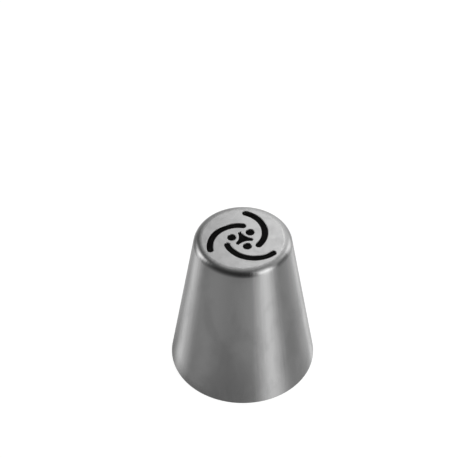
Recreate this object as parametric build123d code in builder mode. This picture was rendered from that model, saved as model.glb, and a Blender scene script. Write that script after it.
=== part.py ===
from build123d import *
import math
import os

# Piping nozzle of the large many-petal kind, in millimetres.
# It stands on its wide open end. The origin is the centre of that end, with +Z up to the face.
# The face pattern is a pinwheel that turns anticlockwise outwards when seen from outside.

# Nozzle outline
height = 37.8
base_radius = 17.0
tip_radius = 11.15  # where the wall's outer line would meet the face
sheet = 0.8  # both pressings come from one sheet
bend_inside_radius = 0.8
cap_depth = 3.0  # from the face down to the cap's open edge
rim_break = 0.15

# Weld inside the joint of the two pressings
bead_width = 1.5
bead_crown_width = 0.7
bead_rise = 0.3

# Face pattern
pattern_repeats = 3
pattern_turn = 52.0  # direction of one round hole, in degrees from +X
star_waist_radius = 0.95
star_arm_length = 2.24
star_tip_width = 0.74
star_tip_round = 0.22
star_web = 0.69  # metal between the star's waist and a round hole
hole_diameter = 1.96
slot_width = 1.4
slot_bend_radius = 6.55
slot_inner_reach = 4.14  # from the axis to the centre of the slot's inner end
slot_inner_angle = -81.7  # in degrees from the round hole's direction
slot_outer_angle = 34.4
slot_land = 0.81  # flat metal between the slot's outer end and the bend
cut_overrun = 1.0

# Places worked out from the sizes above
bend_outside_radius = bend_inside_radius + sheet
wall_lean = math.atan2(base_radius - tip_radius, height)
underface_height = height - sheet
joint_height = height - cap_depth
flat_radius = tip_radius - bend_outside_radius * math.tan((math.pi / 2 - wall_lean) / 2)
hole_ring_radius = star_waist_radius + star_web + hole_diameter / 2
slot_outer_reach = flat_radius - slot_land - slot_width / 2
pattern_pitch = 360 / pattern_repeats


def outer_radius_at(level):
    """Radius of the wall's outer line at a height above the base."""
    return base_radius - level * math.tan(wall_lean)


def inner_radius_at(level):
    """Radius of the wall's inner line at a height above the base."""
    return outer_radius_at(level) - sheet / math.cos(wall_lean)


def turned(along, across, angle):
    """A point in the face, given along and across a direction from the axis."""
    return Vector(along, across).rotate(Axis.Z, angle)


# Cone: the tapered wall, open at both ends, with its base edges eased
with BuildPart() as nozzle_cone:
    with BuildSketch(Plane.XZ):
        with BuildLine():
            Polyline(
                (base_radius, 0),
                (outer_radius_at(joint_height), joint_height),
                (inner_radius_at(joint_height), joint_height),
                (inner_radius_at(0), 0),
                close=True,
            )
        make_face()
    revolve(axis=Axis.Z)
    chamfer(nozzle_cone.edges().group_by(Axis.Z)[0], length=rim_break)

# Star in the middle of the face: arms between the round holes, hollow sides, eased tips
with BuildSketch() as star:
    with BuildLine():
        for arm in range(pattern_repeats):
            arm_angle = pattern_turn + (arm + 0.5) * pattern_pitch
            next_angle = arm_angle + pattern_pitch
            side_start = turned(star_arm_length, star_tip_width / 2, arm_angle)
            side_end = turned(star_arm_length, -star_tip_width / 2, next_angle)
            waist = turned(star_waist_radius, 0, arm_angle + pattern_pitch / 2)
            ThreePointArc(side_start, waist, side_end)
            Line(side_end, turned(star_arm_length, star_tip_width / 2, next_angle))
    make_face()
    fillet(star.vertices(), radius=star_tip_round)

# Centre line of one curved slot, drawn as if its round hole lay along +X
with BuildLine() as slot_path:
    RadiusArc(
        turned(slot_inner_reach, 0, slot_inner_angle),
        turned(slot_outer_reach, 0, slot_outer_angle),
        -slot_bend_radius,
    )

# Cap: the flat face, the drawn bend round it and a short skirt that meets the cone
with BuildPart() as pattern_cap:
    with BuildSketch(Plane.XZ):
        with BuildLine():
            outside = FilletPolyline(
                (0, height),
                (tip_radius, height),
                (outer_radius_at(joint_height), joint_height),
                radius=bend_outside_radius,
            )
            inside = FilletPolyline(
                (inner_radius_at(joint_height), joint_height),
                (inner_radius_at(underface_height), underface_height),
                (0, underface_height),
                radius=bend_inside_radius,
            )
            Line(outside @ 1, inside @ 0)
            Line(inside @ 1, outside @ 0)
        make_face()
    revolve(axis=Axis.Z)
    with BuildSketch(Plane.XY.offset(height + cut_overrun)):
        add(star.sketch_local)
        with PolarLocations(hole_ring_radius, pattern_repeats, start_angle=pattern_turn):
            Circle(hole_diameter / 2)
        with PolarLocations(0, pattern_repeats, start_angle=pattern_turn):
            SlotArc(slot_path.edge(), slot_width)
    extrude(amount=-(sheet + 2 * cut_overrun), mode=Mode.SUBTRACT)

# Weld: a low ring of metal inside, over the joint of cone and cap
with BuildPart() as weld_ring:
    with BuildSketch(Plane.XZ):
        with BuildLine():
            below = joint_height - bead_width / 2
            above = joint_height + bead_width / 2
            seat = Line((inner_radius_at(below), below), (inner_radius_at(above), above))
            crown_radius = inner_radius_at(joint_height) - bead_rise
            Polyline(
                seat @ 1,
                (crown_radius, joint_height + bead_crown_width / 2),
                (crown_radius, joint_height - bead_crown_width / 2),
                seat @ 0,
            )
        make_face()
    revolve(axis=Axis.Z)

nozzle_cone.part.label = "nozzle_cone"
pattern_cap.part.label = "pattern_cap"
weld_ring.part.label = "weld_ring"

os.makedirs("parts", exist_ok=True)
export_step(nozzle_cone.part, "parts/nozzle_cone.step")
export_step(pattern_cap.part, "parts/pattern_cap.step")
export_step(weld_ring.part, "parts/weld_ring.step")
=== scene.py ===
import bpy
import bmesh
import math
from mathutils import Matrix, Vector


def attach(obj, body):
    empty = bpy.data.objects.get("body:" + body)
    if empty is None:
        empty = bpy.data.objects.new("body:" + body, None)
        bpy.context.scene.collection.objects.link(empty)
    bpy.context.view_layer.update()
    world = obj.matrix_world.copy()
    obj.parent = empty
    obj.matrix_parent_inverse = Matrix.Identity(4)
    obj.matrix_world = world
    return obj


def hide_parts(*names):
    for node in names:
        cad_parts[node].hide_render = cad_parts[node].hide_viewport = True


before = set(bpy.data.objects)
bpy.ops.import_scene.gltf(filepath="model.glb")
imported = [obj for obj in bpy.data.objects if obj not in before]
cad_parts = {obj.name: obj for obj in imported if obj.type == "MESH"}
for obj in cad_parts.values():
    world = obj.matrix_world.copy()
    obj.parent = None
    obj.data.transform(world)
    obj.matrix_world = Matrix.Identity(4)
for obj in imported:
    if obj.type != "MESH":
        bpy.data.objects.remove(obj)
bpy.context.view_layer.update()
mm = 0.001
turn = 2 * math.pi
print("frame loaded:", ", ".join(sorted(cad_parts)))

# Nozzle outline and mesh settings, shared by the pieces
body = {
    "height": 37.8 * mm,
    "baseRadius": 17.0 * mm,
    "tipRadius": 11.15 * mm,  # where the wall's line would meet the face
    "sheet": 0.8 * mm,
    "bendRadius": 0.8 * mm,  # inside the bend
    "capDepth": 3.0 * mm,
    "ringPoints": 360,
    "mergeDistance": 0.0002 * mm,
    "sharpAngle": math.radians(40),
}
lean = math.atan2(body["baseRadius"] - body["tipRadius"], body["height"])
bendOutside = body["bendRadius"] + body["sheet"]
flatRadius = body["tipRadius"] - bendOutside * math.tan((math.pi / 2 - lean) / 2)
underHeight = body["height"] - body["sheet"]
jointHeight = body["height"] - body["capDepth"]


def outerRadius(level):
    return body["baseRadius"] - level * math.tan(lean)


def innerRadius(level):
    return outerRadius(level) - body["sheet"] / math.cos(lean)


def addNode(tree, kind, inputs=None, **settings):
    # inputs are keyed by name or number; a socket is linked, anything else is a value
    node = tree.nodes.new(kind)
    for key, value in settings.items():
        setattr(node, key, value)
    for key, value in (inputs or {}).items():
        if isinstance(value, bpy.types.NodeSocket):
            tree.links.new(value, node.inputs[key])
        else:
            node.inputs[key].default_value = value
    return node


def maths(tree, operation, *values):
    return addNode(tree, "ShaderNodeMath", dict(enumerate(values)), operation=operation).outputs[0]


def vectorMaths(tree, operation, *values):
    node = addNode(tree, "ShaderNodeVectorMath", dict(enumerate(values)), operation=operation)
    return node.outputs["Value" if operation in ("LENGTH", "DOT_PRODUCT") else "Vector"]


def softRamp(tree, value, fromLow, fromHigh, toLow=0.0, toHigh=1.0):
    inputs = {"Value": value, "From Min": fromLow, "From Max": fromHigh, "To Min": toLow, "To Max": toHigh}
    return addNode(tree, "ShaderNodeMapRange", inputs, interpolation_type="SMOOTHSTEP").outputs[0]


def seededNoise(tree, inputs):
    return addNode(tree, "ShaderNodeTexNoise", inputs, noise_dimensions="4D").outputs[0]


def placeGroup(tree, group, values):
    return addNode(tree, "ShaderNodeGroup", values, node_tree=group).outputs[0]


def newTree(name, kind, inputs, outputs):
    # inputs are {label: (socket type, value)}, outputs are {label: socket type}
    tree = bpy.data.node_groups.new(name, kind)
    for label, (socketType, value) in inputs.items():
        socket = tree.interface.new_socket(label, in_out="INPUT", socket_type=socketType)
        if value is not None:
            socket.default_value = value
    for label, socketType in outputs.items():
        tree.interface.new_socket(label, in_out="OUTPUT", socket_type=socketType)
    return tree, tree.nodes.new("NodeGroupInput").outputs, tree.nodes.new("NodeGroupOutput").inputs


def polySpline(curve, points, closed):
    spline = curve.splines.new("POLY")
    spline.points.add(len(points) - 1)
    for point, (x, y) in zip(spline.points, points):
        point.co = (x, y, 0, 1)
    spline.use_cyclic_u = closed


def growPiece(name, splines, tree, values):
    # runs a node tree on flat outlines and keeps the result as a plain closed mesh
    curve = bpy.data.curves.new(name + "Outlines", "CURVE")
    curve.dimensions = "3D"
    for points, closed in splines:
        polySpline(curve, points, closed)
    base = bpy.data.objects.new(name + "Base", curve)
    bpy.context.scene.collection.objects.link(base)
    modifier = base.modifiers.new("grow", "NODES")
    modifier.node_group = tree
    for item in tree.interface.items_tree:
        if item.in_out == "INPUT" and item.name in values:
            modifier[item.identifier] = values[item.name]
    shape = base.evaluated_get(bpy.context.evaluated_depsgraph_get())
    mesh = bpy.data.meshes.new_from_object(shape)
    mesh.name = name
    bpy.data.objects.remove(base)
    bpy.data.curves.remove(curve)
    shell = bmesh.new()
    shell.from_mesh(mesh)
    bmesh.ops.remove_doubles(shell, verts=shell.verts, dist=body["mergeDistance"])
    bmesh.ops.recalc_face_normals(shell, faces=shell.faces)
    openEdges = sum(not edge.is_manifold for edge in shell.edges)
    shell.to_mesh(mesh)
    shell.free()
    mesh.shade_smooth()
    mesh.set_sharp_from_angle(angle=body["sharpAngle"])
    piece = bpy.data.objects.new(name, mesh)
    bpy.context.scene.collection.objects.link(piece)
    print(f"{name}: {len(mesh.polygons)} faces, {openEdges} open edges")
    return piece


def shortSweep(start, end):
    # the way round from one angle to another that takes less than half a turn
    return (end - start + math.pi) % turn - math.pi


def arcPoints(centre, radius, start, end, count):
    # points along an arc, ends included; angles in radians
    steps = [start + (end - start) * i / (count - 1) for i in range(count)]
    return [(centre[0] + radius * math.cos(a), centre[1] + radius * math.sin(a)) for a in steps]


def sectionPoints(points, radius=0):
    # a swept section has its x measured from the path, and its y points down
    return [(x - radius, -y) for x, y in points]


def sweepRound(tree, section, radius, count):
    ring = addNode(tree, "GeometryNodeCurvePrimitiveCircle", {"Resolution": count, "Radius": radius})
    upright = addNode(tree, "GeometryNodeSetCurveNormal", {0: ring.outputs[0]}, mode="Z_UP")
    swept = {"Curve": upright.outputs[0], "Profile Curve": section}
    return addNode(tree, "GeometryNodeCurveToMesh", swept).outputs[0]


def pickSpline(tree, geometry, number):
    # one of the outlines that the tree is given, and the rest; 2 and 3 are Compare's integer inputs
    index = addNode(tree, "GeometryNodeInputIndex").outputs[0]
    same = addNode(tree, "FunctionNodeCompare", {2: index, 3: number}, data_type="INT", operation="EQUAL")
    wanted = {"Geometry": geometry, "Selection": same.outputs[0]}
    split = addNode(tree, "GeometryNodeSeparateGeometry", wanted, domain="CURVE")
    return split.outputs["Selection"], split.outputs["Inverted"]


def joinParts(tree, parts):
    joined = addNode(tree, "GeometryNodeJoinGeometry")
    for part in parts:
        tree.links.new(part, joined.inputs[0])
    return joined.outputs[0]


def finishTree(tree, parts, groupIn, groupOut):
    real = addNode(tree, "GeometryNodeRealizeInstances", {"Geometry": joinParts(tree, parts)}).outputs[0]
    near = {"Geometry": real, "Distance": body["mergeDistance"]}
    merged = addNode(tree, "GeometryNodeMergeByDistance", near).outputs[0]
    finish = {"Geometry": merged, "Material": groupIn["Finish"]}
    dressed = addNode(tree, "GeometryNodeSetMaterial", finish).outputs[0]
    if "Outer Finish" in groupIn:  # beyond the flat face
        place = addNode(tree, "GeometryNodeInputPosition").outputs[0]
        reach = vectorMaths(tree, "LENGTH", vectorMaths(tree, "MULTIPLY", place, (1, 1, 0)))
        beyond = maths(tree, "GREATER_THAN", reach, groupIn["Flat Radius"])
        outer = {"Geometry": dressed, "Selection": beyond, "Material": groupIn["Outer Finish"]}
        dressed = addNode(tree, "GeometryNodeSetMaterial", outer).outputs[0]
    tree.links.new(dressed, groupOut["Geometry"])


# Steel finishes come before the pieces, because the pieces' trees assign them.
# Marks left by turning and polishing need coordinates that run round the nozzle and along its outline.
roundTree, roundIn, roundOut = newTree(
    "roundPlace", "ShaderNodeTree", {"Vector": ("NodeSocketVector", None)}, {"Vector": "NodeSocketVector"}
)
t = roundTree
place = addNode(t, "ShaderNodeSeparateXYZ", {0: roundIn["Vector"]}).outputs
flatPlace = addNode(t, "ShaderNodeCombineXYZ", {"X": place["X"], "Y": place["Y"]}).outputs[0]
unit = addNode(t, "ShaderNodeSeparateXYZ", {0: vectorMaths(t, "NORMALIZE", flatPlace)}).outputs
outline = maths(t, "SUBTRACT", place["Z"], vectorMaths(t, "LENGTH", flatPlace))
roundPlace = addNode(t, "ShaderNodeCombineXYZ", {"X": unit["X"], "Y": unit["Y"], "Z": outline})
t.links.new(roundPlace.outputs[0], roundOut["Vector"])

# Fine parallel marks: long one way, close together the other
markTree, markIn, markOut = newTree(
    "fineMarks",
    "ShaderNodeTree",
    {
        "Vector": ("NodeSocketVector", None),
        "Per Length": ("NodeSocketFloat", 3),
        "Per Width": ("NodeSocketFloat", 4000),
        "Detail": ("NodeSocketFloat", 1),
        "Fineness": ("NodeSocketFloat", 0.55),
        "Seed": ("NodeSocketFloat", 0),
    },
    {"Marks": "NodeSocketFloat"},
)
t = markTree
perSide = {"X": markIn["Per Length"], "Y": markIn["Per Length"], "Z": markIn["Per Width"]}
stretch = addNode(t, "ShaderNodeCombineXYZ", perSide).outputs[0]
noise = seededNoise(
    t,
    {
        "Vector": vectorMaths(t, "MULTIPLY", markIn["Vector"], stretch),
        "W": markIn["Seed"],
        "Scale": 1.0,
        "Detail": markIn["Detail"],
        "Roughness": markIn["Fineness"],
    },
)
t.links.new(noise, markOut["Marks"])

# Soft cloudy patches, as handling and drying leave them; 0 is clean
smudgeTree, smudgeIn, smudgeOut = newTree(
    "smudges",
    "ShaderNodeTree",
    {
        "Vector": ("NodeSocketVector", None),
        "Stretch": ("NodeSocketVector", (1, 1, 1)),
        "Scale": ("NodeSocketFloat", 120),
        "Detail": ("NodeSocketFloat", 4),
        "Distortion": ("NodeSocketFloat", 0.6),
        "Low": ("NodeSocketFloat", 0.4),
        "High": ("NodeSocketFloat", 0.7),
        "Seed": ("NodeSocketFloat", 0),
    },
    {"Smudge": "NodeSocketFloat"},
)
t = smudgeTree
noise = seededNoise(
    t,
    {
        "Vector": vectorMaths(t, "MULTIPLY", smudgeIn["Vector"], smudgeIn["Stretch"]),
        "W": smudgeIn["Seed"],
        "Scale": smudgeIn["Scale"],
        "Detail": smudgeIn["Detail"],
        "Distortion": smudgeIn["Distortion"],
    },
)
t.links.new(softRamp(t, noise, smudgeIn["Low"], smudgeIn["High"]), smudgeOut["Smudge"])

wallLook = {
    "clean": (0.625, 0.625, 0.625),
    "dull": (0.545, 0.545, 0.545),
    "roughness": 0.25,
    "anisotropy": 0.5,
    "anisotropyTurn": 0.25,
    "marksRound": "Z",  # the axis that the marks run round
    "markPerLength": 3.0,  # marks of polishing, long round the nozzle
    "markPerWidth": 9000.0,
    "markDetail": 1.0,
    "markRoughness": 0.012,
    "wavePerLength": 13.0,  # slight ripples of the sheet, long up the wall
    "wavePerWidth": 60.0,
    "waveDetail": 2.0,
    "waveHeight": 0.024 * mm,
    "smudgeStretch": (1, 1, 0.5),
    "smudgeScale": 170.0,
    "smudgeRoughness": 0.02,
    "seed": 4.0,
    "waveSeed": 9.0,
    "smudgeSeed": 5.0,
}
faceLook = {
    **wallLook,
    "clean": (0.61, 0.61, 0.61),
    "dull": (0.58, 0.58, 0.58),
    "marksRound": "Y",
    "anisotropy": 0.0,
    "markPerLength": 120.0,
    "wavePerLength": 250.0,
    "wavePerWidth": 420.0,
    "waveHeight": 0.02 * mm,
    "smudgeStretch": (0.9, 0.9, 1),
    "smudgeScale": 430.0,
    "seed": 11.0,
    "waveSeed": 16.0,
    "smudgeSeed": 12.0,
}
weldLook = {
    **wallLook,
    "clean": (0.5, 0.48, 0.45),
    "dull": (0.36, 0.36, 0.38),
    "roughness": 0.42,
    "markPerLength": 60.0,
    "seed": 23.0,
    "waveSeed": 28.0,
    "smudgeSeed": 24.0,
}


def markValues(look, kind, seed, marksPlace):
    return {
        "Vector": marksPlace,
        "Per Length": look[kind + "PerLength"],
        "Per Width": look[kind + "PerWidth"],
        "Detail": look[kind + "Detail"],
        "Seed": seed,
    }


def steel(name, look):
    material = bpy.data.materials.new(name)
    material.use_nodes = True
    t = material.node_tree
    shader = t.nodes["Principled BSDF"]
    shader.inputs["Metallic"].default_value = 1
    shader.inputs["Anisotropic"].default_value = look["anisotropy"]
    shader.inputs["Anisotropic Rotation"].default_value = look["anisotropyTurn"]
    tangent = addNode(t, "ShaderNodeTangent", direction_type="RADIAL", axis=look["marksRound"])
    t.links.new(tangent.outputs[0], shader.inputs["Tangent"])
    place = addNode(t, "ShaderNodeTexCoord").outputs["Object"]
    if look["marksRound"] == "Z":
        marksPlace = placeGroup(t, roundTree, {"Vector": place})
    else:  # straight marks along X
        parts = addNode(t, "ShaderNodeSeparateXYZ", {0: place}).outputs
        level = maths(t, "SUBTRACT", parts["Z"], parts["Y"])
        marksPlace = addNode(t, "ShaderNodeCombineXYZ", {"X": parts["X"], "Z": level}).outputs[0]
    marks = placeGroup(t, markTree, markValues(look, "mark", look["seed"], marksPlace))
    waves = placeGroup(t, markTree, markValues(look, "wave", look["waveSeed"], marksPlace))
    smudgeValues = {
        "Vector": place,
        "Stretch": look["smudgeStretch"],
        "Scale": look["smudgeScale"],
        "Seed": look["smudgeSeed"],
    }
    smudge = placeGroup(t, smudgeTree, smudgeValues)
    smoothest = look["roughness"] - look["markRoughness"] / 2
    rough = maths(t, "MULTIPLY_ADD", marks, look["markRoughness"], smoothest)
    rough = maths(t, "MULTIPLY_ADD", smudge, look["smudgeRoughness"], rough)
    t.links.new(rough, shader.inputs["Roughness"])
    # 6 and 7 are the Mix node's colour inputs, and 2 is its colour output
    colours = {"Factor": smudge, 6: (*look["clean"], 1), 7: (*look["dull"], 1)}
    tint = addNode(t, "ShaderNodeMix", colours, data_type="RGBA")
    t.links.new(tint.outputs[2], shader.inputs["Base Color"])
    height = maths(t, "MULTIPLY", waves, look["waveHeight"])
    bump = addNode(t, "ShaderNodeBump", {"Strength": 1.0, "Distance": 1.0, "Height": height})
    t.links.new(bump.outputs[0], shader.inputs["Normal"])
    return material


wallFinish = steel("polishedWallSteel", wallLook)
faceFinish = steel("brushedFaceSteel", faceLook)
weldFinish = steel("weldSteel", weldLook)
print("finishes made")

# Tapered wall, with its base edges eased; at the joint it is cut square, flush with the cap's skirt
cone = {
    "rimEase": 0.15 * mm,
    "easePoints": 5,
    "support": 0.06 * mm,  # short faces beside each eased edge keep the shading true
}


def easedCorner(before, corner, after, radius, count):
    # rounds one corner of a section
    inward = (before - corner).normalized()
    outward = (after - corner).normalized()
    half = inward.angle(outward) / 2
    reach = radius / math.tan(half)
    centre = corner + (inward + outward).normalized() * (radius / math.sin(half))
    first = corner + inward * reach - centre
    last = corner + outward * reach - centre
    start = math.atan2(first.y, first.x)
    sweep = shortSweep(start, math.atan2(last.y, last.x))
    return [Vector(p) for p in arcPoints(centre, radius, start, start + sweep, count)]


def easedBaseCorner(before, corner, after):
    rounded = easedCorner(before, corner, after, cone["rimEase"], cone["easePoints"])
    first = rounded[0] + (before - corner).normalized() * cone["support"]
    last = rounded[-1] + (after - corner).normalized() * cone["support"]
    return [first, *rounded, last]


def wallSection():
    outerLow, outerHigh = (Vector((outerRadius(level), level)) for level in (0, jointHeight))
    innerLow, innerHigh = (Vector((innerRadius(level), level)) for level in (0, jointHeight))
    points = easedBaseCorner(innerLow, outerLow, outerHigh)
    points += [outerHigh, innerHigh]
    points += easedBaseCorner(innerHigh, innerLow, outerLow)
    return sectionPoints(points, flatRadius)


coneTree, coneIn, coneOut = newTree(
    "turnedWall",
    "GeometryNodeTree",
    {
        "Geometry": ("NodeSocketGeometry", None),
        "Ring Radius": ("NodeSocketFloat", 0.01),
        "Ring Points": ("NodeSocketInt", 360),
        "Finish": ("NodeSocketMaterial", None),
    },
    {"Geometry": "NodeSocketGeometry"},
)
wall = sweepRound(coneTree, coneIn["Geometry"], coneIn["Ring Radius"], coneIn["Ring Points"])
finishTree(coneTree, [wall], coneIn, coneOut)
nozzleCone = growPiece(
    "nozzleCone",
    [(wallSection(), True)],
    coneTree,
    {"Ring Radius": flatRadius, "Ring Points": body["ringPoints"], "Finish": wallFinish},
)
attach(nozzleCone, "root")
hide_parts("nozzle_cone")

# Cap: flat face, drawn shoulder and skirt, with the pinwheel cut through it
cap = {
    "repeats": 3,
    "patternTurn": math.radians(52.0),  # direction of one round hole
    "starWaist": 0.95 * mm,
    "starArm": 2.24 * mm,
    "starTipWidth": 0.74 * mm,
    "starTipRound": 0.22 * mm,
    "starTipClear": 0.253 * mm,  # the side's own points start this far from a tip's corner
    "starWeb": 0.69 * mm,
    "holeDiameter": 1.96 * mm,
    "slotWidth": 1.4 * mm,
    "slotBend": 6.55 * mm,
    "slotInnerReach": 4.14 * mm,
    "slotInnerAngle": math.radians(-81.7),
    "slotOuterAngle": math.radians(34.4),
    "slotLand": 0.81 * mm,
    "cutEase": 0.14 * mm,
    "easePoints": 5,
    "support": 0.03 * mm,
    "easeReach": 0.5 * mm,  # the shoulder leaves the face gently, this far inside the bend
    "easeRadius": 4.0 * mm,
    "easeAngle": math.radians(10.0),
    "bendPoints": 14,
    "holePoints": 64,
    "slotPoints": 60,
    "slotEndPoints": 20,
    "starTipPoints": 7,
    "starSidePoints": 18,
}
pitch = turn / cap["repeats"]
holeRing = cap["starWaist"] + cap["starWeb"] + cap["holeDiameter"] / 2
slotOuterReach = flatRadius - cap["slotLand"] - cap["slotWidth"] / 2
faceRadius = flatRadius - cap["easeReach"]


def turned(along, across, angle):
    c = math.cos(angle)
    s = math.sin(angle)
    return Vector((along * c - across * s, along * s + across * c))


def arcThrough(a, b, c, count):
    # arc from a to c through b
    lengths = (a.length_squared, b.length_squared, c.length_squared)
    d = 2 * (a.x * (b.y - c.y) + b.x * (c.y - a.y) + c.x * (a.y - b.y))
    x = sum(n * side for n, side in zip(lengths, (b.y - c.y, c.y - a.y, a.y - b.y))) / d
    y = sum(n * side for n, side in zip(lengths, (c.x - b.x, a.x - c.x, b.x - a.x))) / d
    start = math.atan2(a.y - y, a.x - x)
    sweep = shortSweep(start, math.atan2(c.y - y, c.x - x))
    radius = (a - Vector((x, y))).length
    return [Vector(p) for p in arcPoints((x, y), radius, start, start + sweep, count)]


def starOutline():
    # one arm after another: a rounded tip and the hollow side that follows it
    points = []
    for arm in range(cap["repeats"]):
        angle = cap["patternTurn"] + (arm + 0.5) * pitch
        tipRight = turned(cap["starArm"], -cap["starTipWidth"] / 2, angle)
        tipLeft = turned(cap["starArm"], cap["starTipWidth"] / 2, angle)
        nextRight = turned(cap["starArm"], -cap["starTipWidth"] / 2, angle + pitch)
        waist = turned(cap["starWaist"], 0, angle + pitch / 2)
        side = arcThrough(tipLeft, waist, nextRight, cap["starSidePoints"])
        lastSide = [turned(p.x, p.y, -pitch) for p in side]
        tip = (cap["starTipRound"], cap["starTipPoints"])
        points += easedCorner(lastSide[-2], tipRight, tipLeft, *tip)
        points += easedCorner(tipRight, tipLeft, side[1], *tip)
        for p in side:
            if min((p - tipLeft).length, (p - nextRight).length) > cap["starTipClear"]:
                points.append(p)
    return [tuple(p) for p in points]


def slotOutline():
    inner = turned(cap["slotInnerReach"], 0, cap["slotInnerAngle"])
    outer = turned(slotOuterReach, 0, cap["slotOuterAngle"])
    middle = (inner + outer) / 2
    half = (outer - inner).length / 2
    along = (outer - inner).normalized()
    centre = middle - Vector((along.y, -along.x)) * math.sqrt(cap["slotBend"] ** 2 - half**2)
    start = math.atan2(inner.y - centre.y, inner.x - centre.x)
    end = start + shortSweep(start, math.atan2(outer.y - centre.y, outer.x - centre.x))
    w = cap["slotWidth"] / 2
    points = arcPoints(centre, cap["slotBend"] + w, start, end, cap["slotPoints"])
    points += arcPoints(outer, w, end, end + math.pi, cap["slotEndPoints"])[1:-1]
    points += arcPoints(centre, cap["slotBend"] - w, end, start, cap["slotPoints"])
    points += arcPoints(inner, w, start + math.pi, start + turn, cap["slotEndPoints"])[1:-1]
    return points


def holeOutline():
    lastAngle = turn * (1 - 1 / cap["holePoints"])
    return arcPoints((holeRing, 0), cap["holeDiameter"] / 2, 0, lastAngle, cap["holePoints"])


def cutSection():
    # wall of a cut, from the face down; x runs into the metal
    ease = cap["cutEase"]
    count = cap["easePoints"]
    top = body["height"]
    points = [(ease + cap["support"], top)]
    points += arcPoints((ease, top - ease), ease, math.pi / 2, math.pi, count)
    points += [(0, (top + underHeight) / 2)]
    points += arcPoints((ease, underHeight + ease), ease, math.pi, 3 * math.pi / 2, count)
    points += [(ease + cap["support"], underHeight)]
    return sectionPoints(points)


def shoulderPoints():
    # a gentle arc off the face, then the bend itself, which meets the wall's line
    eased = math.pi / 2 - cap["easeAngle"]
    centre = (faceRadius, body["height"] - cap["easeRadius"])
    points = arcPoints(centre, cap["easeRadius"], math.pi / 2, eased, cap["easePoints"])
    last = Vector(points[-1])
    outward = Vector((math.cos(eased), math.sin(eased)))
    wallward = Vector((math.cos(lean), math.sin(lean)))
    corner = Vector((body["tipRadius"], body["height"]))
    radius = (corner - last).dot(wallward) / (1 - outward.dot(wallward))
    return points[:-1] + arcPoints(last - outward * radius, radius, eased, lean, cap["bendPoints"])


def capSection():
    # from the flat's edge out over the shoulder, down the skirt and back in underneath
    flatEdge = faceRadius - cap["support"]
    points = [(flatEdge, body["height"])] + shoulderPoints()
    points += [(outerRadius(jointHeight), jointHeight)]
    points += [(innerRadius(jointHeight), jointHeight)]
    centre = (flatRadius, body["height"] - bendOutside)
    points += arcPoints(centre, body["bendRadius"], lean, math.pi / 2, cap["bendPoints"])
    points += [(flatEdge, underHeight)]
    return sectionPoints(points, faceRadius)


capTree, capIn, capOut = newTree(
    "cutCap",
    "GeometryNodeTree",
    {
        "Geometry": ("NodeSocketGeometry", None),  # splines: star, cut wall, cap section, hole, slot
        "Repeats": ("NodeSocketInt", 3),
        "Turn": ("NodeSocketFloat", 0),
        "Flat Radius": ("NodeSocketFloat", 0.01),
        "Inset": ("NodeSocketFloat", 0.0001),
        "Support": ("NodeSocketFloat", 0.0001),
        "Top": ("NodeSocketFloat", 0.04),
        "Underside": ("NodeSocketFloat", 0.039),
        "Ring Points": ("NodeSocketInt", 360),
        "Finish": ("NodeSocketMaterial", None),
        "Outer Finish": ("NodeSocketMaterial", None),
    },
    {"Geometry": "NodeSocketGeometry"},
)
t = capTree
star, rest = pickSpline(t, capIn["Geometry"], 0)
cutLine, rest = pickSpline(t, rest, 0)
shoulderLine, oneThird = pickSpline(t, rest, 0)
# the hole and the slot, repeated round the axis
places = addNode(t, "GeometryNodePoints", {"Count": capIn["Repeats"]}).outputs[0]
share = maths(t, "DIVIDE", addNode(t, "GeometryNodeInputIndex").outputs[0], capIn["Repeats"])
angle = maths(t, "MULTIPLY_ADD", share, turn, capIn["Turn"])
rotation = addNode(t, "ShaderNodeCombineXYZ", {"Z": angle}).outputs[0]
repeated = {"Points": places, "Instance": oneThird, "Rotation": rotation}
copies = addNode(t, "GeometryNodeInstanceOnPoints", repeated).outputs[0]
realCopies = addNode(t, "GeometryNodeRealizeInstances", {"Geometry": copies}).outputs[0]
outlines = joinParts(t, [realCopies, star])
# walls of the cuts
cuts = addNode(t, "GeometryNodeSetCurveNormal", {0: outlines}, mode="Z_UP").outputs[0]
cutWalls = addNode(t, "GeometryNodeCurveToMesh", {"Curve": cuts, "Profile Curve": cutLine}).outputs[0]
shoulder = sweepRound(t, shoulderLine, capIn["Flat Radius"], capIn["Ring Points"])
# flat metal between the cuts' eased edges and the shoulder, above and below
normal = addNode(t, "GeometryNodeInputNormal").outputs[0]
inset = addNode(t, "ShaderNodeVectorMath", {0: normal, "Scale": capIn["Inset"]}, operation="SCALE").outputs[0]
inner = addNode(t, "GeometryNodeSetPosition", {"Geometry": cuts, "Offset": inset}).outputs[0]
fillRadius = maths(t, "SUBTRACT", capIn["Flat Radius"], capIn["Support"])
rimCircle = {"Resolution": capIn["Ring Points"], "Radius": fillRadius}
rim = addNode(t, "GeometryNodeCurvePrimitiveCircle", rimCircle).outputs[0]
flatOutline = joinParts(t, [inner, rim])
flat = addNode(t, "GeometryNodeFillCurve", {"Curve": flatOutline}, mode="TRIANGLES").outputs[0]
flats = []
for level in ("Top", "Underside"):
    lift = addNode(t, "ShaderNodeCombineXYZ", {"Z": capIn[level]}).outputs[0]
    lifted = addNode(t, "GeometryNodeTransform", {"Geometry": flat, "Translation": lift})
    flats.append(lifted.outputs[0])
finishTree(t, flats + [shoulder, cutWalls], capIn, capOut)
patternCap = growPiece(
    "patternCap",
    [
        (starOutline(), True),
        (cutSection(), False),
        (capSection(), False),
        (holeOutline(), True),
        (slotOutline(), True),
    ],
    capTree,
    {
        "Repeats": cap["repeats"],
        "Turn": cap["patternTurn"],
        "Flat Radius": faceRadius,
        "Inset": cap["cutEase"] + cap["support"],
        "Support": cap["support"],
        "Top": body["height"],
        "Underside": underHeight,
        "Ring Points": body["ringPoints"],
        "Finish": faceFinish,
        "Outer Finish": wallFinish,
    },
)
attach(patternCap, "root")
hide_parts("pattern_cap")

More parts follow.
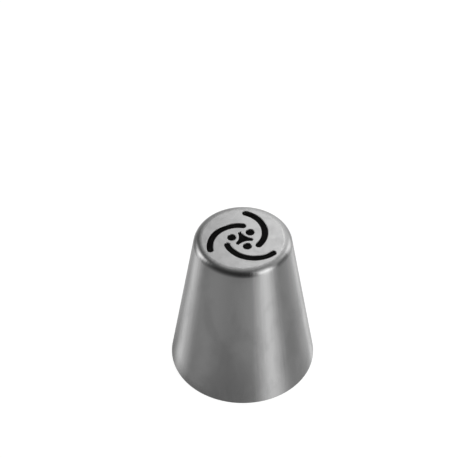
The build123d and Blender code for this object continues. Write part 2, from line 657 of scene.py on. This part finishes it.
# Weld inside, over the joint: a low bead with the ripples of its pool
weld = {
    "width": 1.5 * mm,
    "rise": 0.3 * mm,
    "points": 9,
    "ringPoints": 720,
    "ripples": 64,
    "rippleShare": 0.12,
    "unevenScale": 2500.0,
    "unevenDetail": 2.0,
    "seed": 3.0,
}


def weldSection():
    # y is the height; the bead stands inwards from the wall
    points = []
    for i in range(weld["points"]):
        share = i / (weld["points"] - 1)
        level = jointHeight + weld["width"] * (share - 0.5)
        bulge = weld["rise"] * (1 - (2 * share - 1) ** 2)
        points.append((innerRadius(level) - bulge, level - jointHeight))
    return sectionPoints(points, innerRadius(jointHeight))


weldTree, weldIn, weldOut = newTree(
    "rippledBead",
    "GeometryNodeTree",
    {
        "Geometry": ("NodeSocketGeometry", None),
        "Ring Radius": ("NodeSocketFloat", 0.01),
        "Ring Points": ("NodeSocketInt", 720),
        "Level": ("NodeSocketFloat", 0.035),
        "Half Ripples": ("NodeSocketFloat", 120),
        "Ripple Share": ("NodeSocketFloat", 0.1),
        "Seed": ("NodeSocketFloat", 0),
        "Finish": ("NodeSocketMaterial", None),
    },
    {"Geometry": "NodeSocketGeometry"},
)
t = weldTree
weldCircle = {"Resolution": weldIn["Ring Points"], "Radius": weldIn["Ring Radius"]}
ring = addNode(t, "GeometryNodeCurvePrimitiveCircle", weldCircle).outputs[0]
lift = addNode(t, "ShaderNodeCombineXYZ", {"Z": weldIn["Level"]}).outputs[0]
raised = addNode(t, "GeometryNodeTransform", {"Geometry": ring, "Translation": lift}).outputs[0]
along = addNode(t, "GeometryNodeSplineParameter").outputs["Factor"]
wave = maths(t, "PINGPONG", maths(t, "MULTIPLY", along, weldIn["Half Ripples"]), 1.0)
noise = seededNoise(t, {"W": weldIn["Seed"], "Scale": weld["unevenScale"], "Detail": weld["unevenDetail"]})
dip = maths(t, "MULTIPLY", maths(t, "ADD", wave, noise), weldIn["Ripple Share"])
scale = maths(t, "SUBTRACT", 1.0, dip)
rippled = addNode(t, "GeometryNodeSetCurveRadius", {"Curve": raised, "Radius": scale}).outputs[0]
upright = addNode(t, "GeometryNodeSetCurveNormal", {0: rippled}, mode="Z_UP").outputs[0]
beadSweep = {"Curve": upright, "Profile Curve": weldIn["Geometry"]}
bead = addNode(t, "GeometryNodeCurveToMesh", beadSweep).outputs[0]
finishTree(t, [bead], weldIn, weldOut)
weldRing = growPiece(
    "weldRing",
    [(weldSection(), True)],
    weldTree,
    {
        "Ring Radius": innerRadius(jointHeight),
        "Ring Points": weld["ringPoints"],
        "Level": jointHeight,
        "Half Ripples": 2.0 * weld["ripples"],
        "Ripple Share": weld["rippleShare"],
        "Seed": weld["seed"],
        "Finish": weldFinish,
    },
)
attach(weldRing, "root")
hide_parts("weld_ring")
print("nozzle built")

# Camera, at the photograph's angle
cameraSet = {
    "distance": 510 * mm,
    "elevation": math.radians(46.556),
    "turn": [math.radians(a) for a in (45.195, 0.111, 0.4078)],
    "lens": 171.0,
    "near": 20 * mm,
    "far": 20.0,
}
cameraData = bpy.data.cameras.new("camera")
cameraData.lens = cameraSet["lens"]
cameraData.clip_start = cameraSet["near"]
cameraData.clip_end = cameraSet["far"]
camera = bpy.data.objects.new("camera", cameraData)
camera.location = (
    0,
    -cameraSet["distance"] * math.cos(cameraSet["elevation"]),
    body["height"] / 2 + cameraSet["distance"] * math.sin(cameraSet["elevation"]),
)
camera.rotation_euler = cameraSet["turn"]
bpy.context.scene.collection.objects.link(camera)
bpy.context.scene.camera = camera

# Light: soft boxes round the nozzle, painted into the world by direction; angles in degrees
studio = {
    "ground": (0.145, -14.2, 82.7),  # strength, elevation of its edge, softness
    "backdrop": 1.0,
    "glows": [
        # azimuth, elevation, how narrow, strength
        (74.7, 74.0, 11.09, 0.185),
        (214.2, -44.4, 3.20, 0.194),
        (-1.2, -3.6, 39.52, 0.169),
    ],
    "boxLabels": ("Centre", "Half Width", "Side Softness", "Low", "High", "End Softness", "Strength"),
    "boxes": [
        (316.9, 14.8, 37.5, -35.5, 13.4, 72.4, 1.08),
        (320.2, 17.8, 17.5, 11.5, 53.1, 47.9, 1.41),
        (164.2, 6.7, 23.1, -18.8, 26.0, 86.0, 1.47),
        (147.5, 9.2, 18.9, -44.7, -33.7, 20.2, 0.93),
        (33.1, 8.8, 27.0, -3.6, 35.2, 59.1, 1.51),
        (80.3, 38.3, 89.8, -60.9, 24.0, 72.2, 0.61),
        (116.4, 9.5, 24.6, -24.3, -22.8, 23.9, 1.68),
        (33.5, 71.6, 18.5, 44.7, 52.9, 78.3, 0.83),
        (85.6, 2.0, 9.9, 42.4, 47.4, 9.0, 3.86),
        (338.3, 75.2, 40.6, -38.6, -30.2, 54.4, 0.40),
        (54.4, 6.3, 10.3, -43.0, -41.9, 8.6, 1.80),
        (160.6, 16.9, 33.9, 9.9, 41.3, 26.3, 0.94),
        (105.6, 7.3, 18.3, 59.3, 63.2, 8.2, 0.48),
        (343.3, 5.7, 8.0, 45.9, 68.0, 22.4, 0.56),
    ],
    # panel close behind the face, square to the way the face looks back at the camera
    "panelDistance": 110 * mm,
    "panelElevation": math.radians(46.6),
    "panelSide": (-4.4 * mm, 146.2 * mm),
    "panelRise": (-88.7 * mm, 13.9 * mm),
    "panelRadiance": 0.316,
}


def softEdge(tree, distance, softness):
    # 1 well inside, 0 well outside, a smooth change over the softness
    return softRamp(tree, maths(tree, "DIVIDE", distance, softness), -0.5, 0.5)


boxLabels = ("Azimuth", "Elevation", *studio["boxLabels"])
boxTree, boxIn, boxOut = newTree(
    "softBox",
    "ShaderNodeTree",
    {label: ("NodeSocketFloat", 0) for label in boxLabels},
    {"Light": "NodeSocketFloat"},
)
t = boxTree
away = maths(t, "SUBTRACT", boxIn["Azimuth"], boxIn["Centre"])
away = maths(t, "WRAP", away, 180.0, -180.0)
distances = (
    (maths(t, "SUBTRACT", boxIn["Half Width"], away), boxIn["Side Softness"]),
    (maths(t, "ADD", boxIn["Half Width"], away), boxIn["Side Softness"]),
    (maths(t, "SUBTRACT", boxIn["Elevation"], boxIn["Low"]), boxIn["End Softness"]),
    (maths(t, "SUBTRACT", boxIn["High"], boxIn["Elevation"]), boxIn["End Softness"]),
)
light = boxIn["Strength"]
for distance, softness in distances:
    light = maths(t, "MULTIPLY", light, softEdge(t, distance, softness))
t.links.new(light, boxOut["Light"])

world = bpy.data.worlds.new("studio")
bpy.context.scene.world = world
world.use_nodes = True
t = world.node_tree
heading = addNode(t, "ShaderNodeTexCoord").outputs["Generated"]
direction = addNode(t, "ShaderNodeSeparateXYZ", {0: heading}).outputs
azimuth = maths(t, "DEGREES", maths(t, "ARCTAN2", direction["Y"], direction["X"]))
elevation = maths(t, "DEGREES", maths(t, "ARCSINE", direction["Z"]))
groundStrength, groundEdge, groundSoft = studio["ground"]
groundLight = softEdge(t, maths(t, "SUBTRACT", groundEdge, elevation), groundSoft)
total = maths(t, "MULTIPLY", groundLight, groundStrength)
for side, rise, narrow, strength in studio["glows"]:
    side = math.radians(side)
    rise = math.radians(rise)
    axis = (math.cos(side) * math.cos(rise), math.sin(side) * math.cos(rise), math.sin(rise))
    # 1 along the glow's axis, 0 against it
    near = maths(t, "MULTIPLY_ADD", vectorMaths(t, "DOT_PRODUCT", heading, axis), 0.5, 0.5)
    total = maths(t, "MULTIPLY_ADD", maths(t, "POWER", near, narrow), strength, total)
for box in studio["boxes"]:
    boxLight = placeGroup(t, boxTree, dict(zip(boxLabels, (azimuth, elevation, *box))))
    total = maths(t, "ADD", total, boxLight)
seen = addNode(t, "ShaderNodeLightPath").outputs["Is Camera Ray"]
shown = addNode(t, "ShaderNodeMix", {"Factor": seen, "A": total, "B": studio["backdrop"]}, data_type="FLOAT")
background = t.nodes["Background"]
t.links.new(shown.outputs[0], background.inputs["Strength"])
background.inputs["Color"].default_value = (1, 1, 1, 1)
bpy.context.scene.view_settings.view_transform = "Standard"

# Panel light, which gives the face its slope from dark to pale
panelData = bpy.data.lights.new("panel", "AREA")
panelData.shape = "RECTANGLE"
panelData.size = studio["panelSide"][1] - studio["panelSide"][0]
panelData.size_y = studio["panelRise"][1] - studio["panelRise"][0]
panelData.energy = studio["panelRadiance"] * math.pi * panelData.size * panelData.size_y
panel = bpy.data.objects.new("panel", panelData)
tilt = studio["panelElevation"]
panel.location = (
    Vector((0, 0, body["height"]))
    + Vector((0, math.cos(tilt), math.sin(tilt))) * studio["panelDistance"]
    + Vector((1, 0, 0)) * sum(studio["panelSide"]) / 2
    + Vector((0, -math.sin(tilt), math.cos(tilt))) * sum(studio["panelRise"]) / 2
)
panel.rotation_euler = (tilt - math.pi / 2, 0, 0)
panel.visible_camera = False
bpy.context.scene.collection.objects.link(panel)
print("camera and light placed")

# Pale floor, evenly white to the camera. The steel mirrors the studio's own ground instead, less a painted
# shadow standing for the shade that the nozzle casts in front of itself and to its left; inside the nozzle
# the floor has a faint painted glow.
ground = {
    "halfWidth": 3.0,
    "colour": (0.3, 0.3, 0.3),
    "whiteness": 0.95,
    # painted glow of the floor inside the nozzle, standing for light scattered in through the cuts
    "inside": 0.008,
    # painted shadows near the foot, which only the steel's reflections see
    "paintedShades": [
        # direction, cosines of the outer and inner half angle, reach from the foot, strength
        (math.radians(256), 0.8, 0.985, 40 * mm, 0.42),
        (math.radians(156), 0.86, 0.985, 22 * mm, 0.26),
        (math.radians(188), 0.35, 0.92, 4 * mm, 0.42),
    ],
}
floorMesh = bpy.data.meshes.new("floor")
w = ground["halfWidth"]
floorMesh.from_pydata([(-w, -w, 0), (w, -w, 0), (w, w, 0), (-w, w, 0)], [], [(0, 1, 2, 3)])
floor = bpy.data.objects.new("floor", floorMesh)
bpy.context.scene.collection.objects.link(floor)
floorFinish = bpy.data.materials.new("paleFloor")
floorFinish.use_nodes = True
t = floorFinish.node_tree
floorShader = t.nodes["Principled BSDF"]
floorShader.inputs["Base Color"].default_value = (*ground["colour"], 1)
floorShader.inputs["Roughness"].default_value = 1
floorShader.inputs["Specular IOR Level"].default_value = 0
floorShader.inputs["Emission Color"].default_value = (1, 1, 1, 1)
place = addNode(t, "ShaderNodeTexCoord").outputs["Object"]
reach = vectorMaths(t, "LENGTH", place)
outside = maths(t, "GREATER_THAN", reach, body["baseRadius"] - body["sheet"] / 2)
seen = addNode(t, "ShaderNodeLightPath").outputs["Is Camera Ray"]
white = maths(t, "MULTIPLY", maths(t, "MULTIPLY", outside, seen), ground["whiteness"])
# painted glow: the floor inside the foot emits a faint light
white = maths(t, "MULTIPLY_ADD", maths(t, "SUBTRACT", 1.0, outside), ground["inside"], white)
t.links.new(white, floorShader.inputs["Emission Strength"])
unit = vectorMaths(t, "NORMALIZE", place)
mirrored = maths(t, "SUBTRACT", 1.0, seen)  # share of the studio's ground that the steel mirrors
# painted shadow: in the steel's reflections the floor turns dark near the foot, towards each direction
for side, outer, inner, length, strength in ground["paintedShades"]:
    facing = vectorMaths(t, "DOT_PRODUCT", unit, (math.cos(side), math.sin(side), 0))
    spread = softRamp(t, facing, outer, inner)
    paintedShadeDepth = softRamp(t, reach, body["baseRadius"], body["baseRadius"] + length, strength, 0.0)
    unshaded = maths(t, "SUBTRACT", 1.0, maths(t, "MULTIPLY", spread, paintedShadeDepth))
    mirrored = maths(t, "MULTIPLY", mirrored, unshaded)
clear = addNode(t, "ShaderNodeBsdfTransparent").outputs[0]
shares = {0: maths(t, "MULTIPLY", outside, mirrored), 1: floorShader.outputs[0], 2: clear}
blend = addNode(t, "ShaderNodeMixShader", shares)
t.links.new(blend.outputs[0], t.nodes["Material Output"].inputs["Surface"])
floorMesh.materials.append(floorFinish)
print("floor laid")
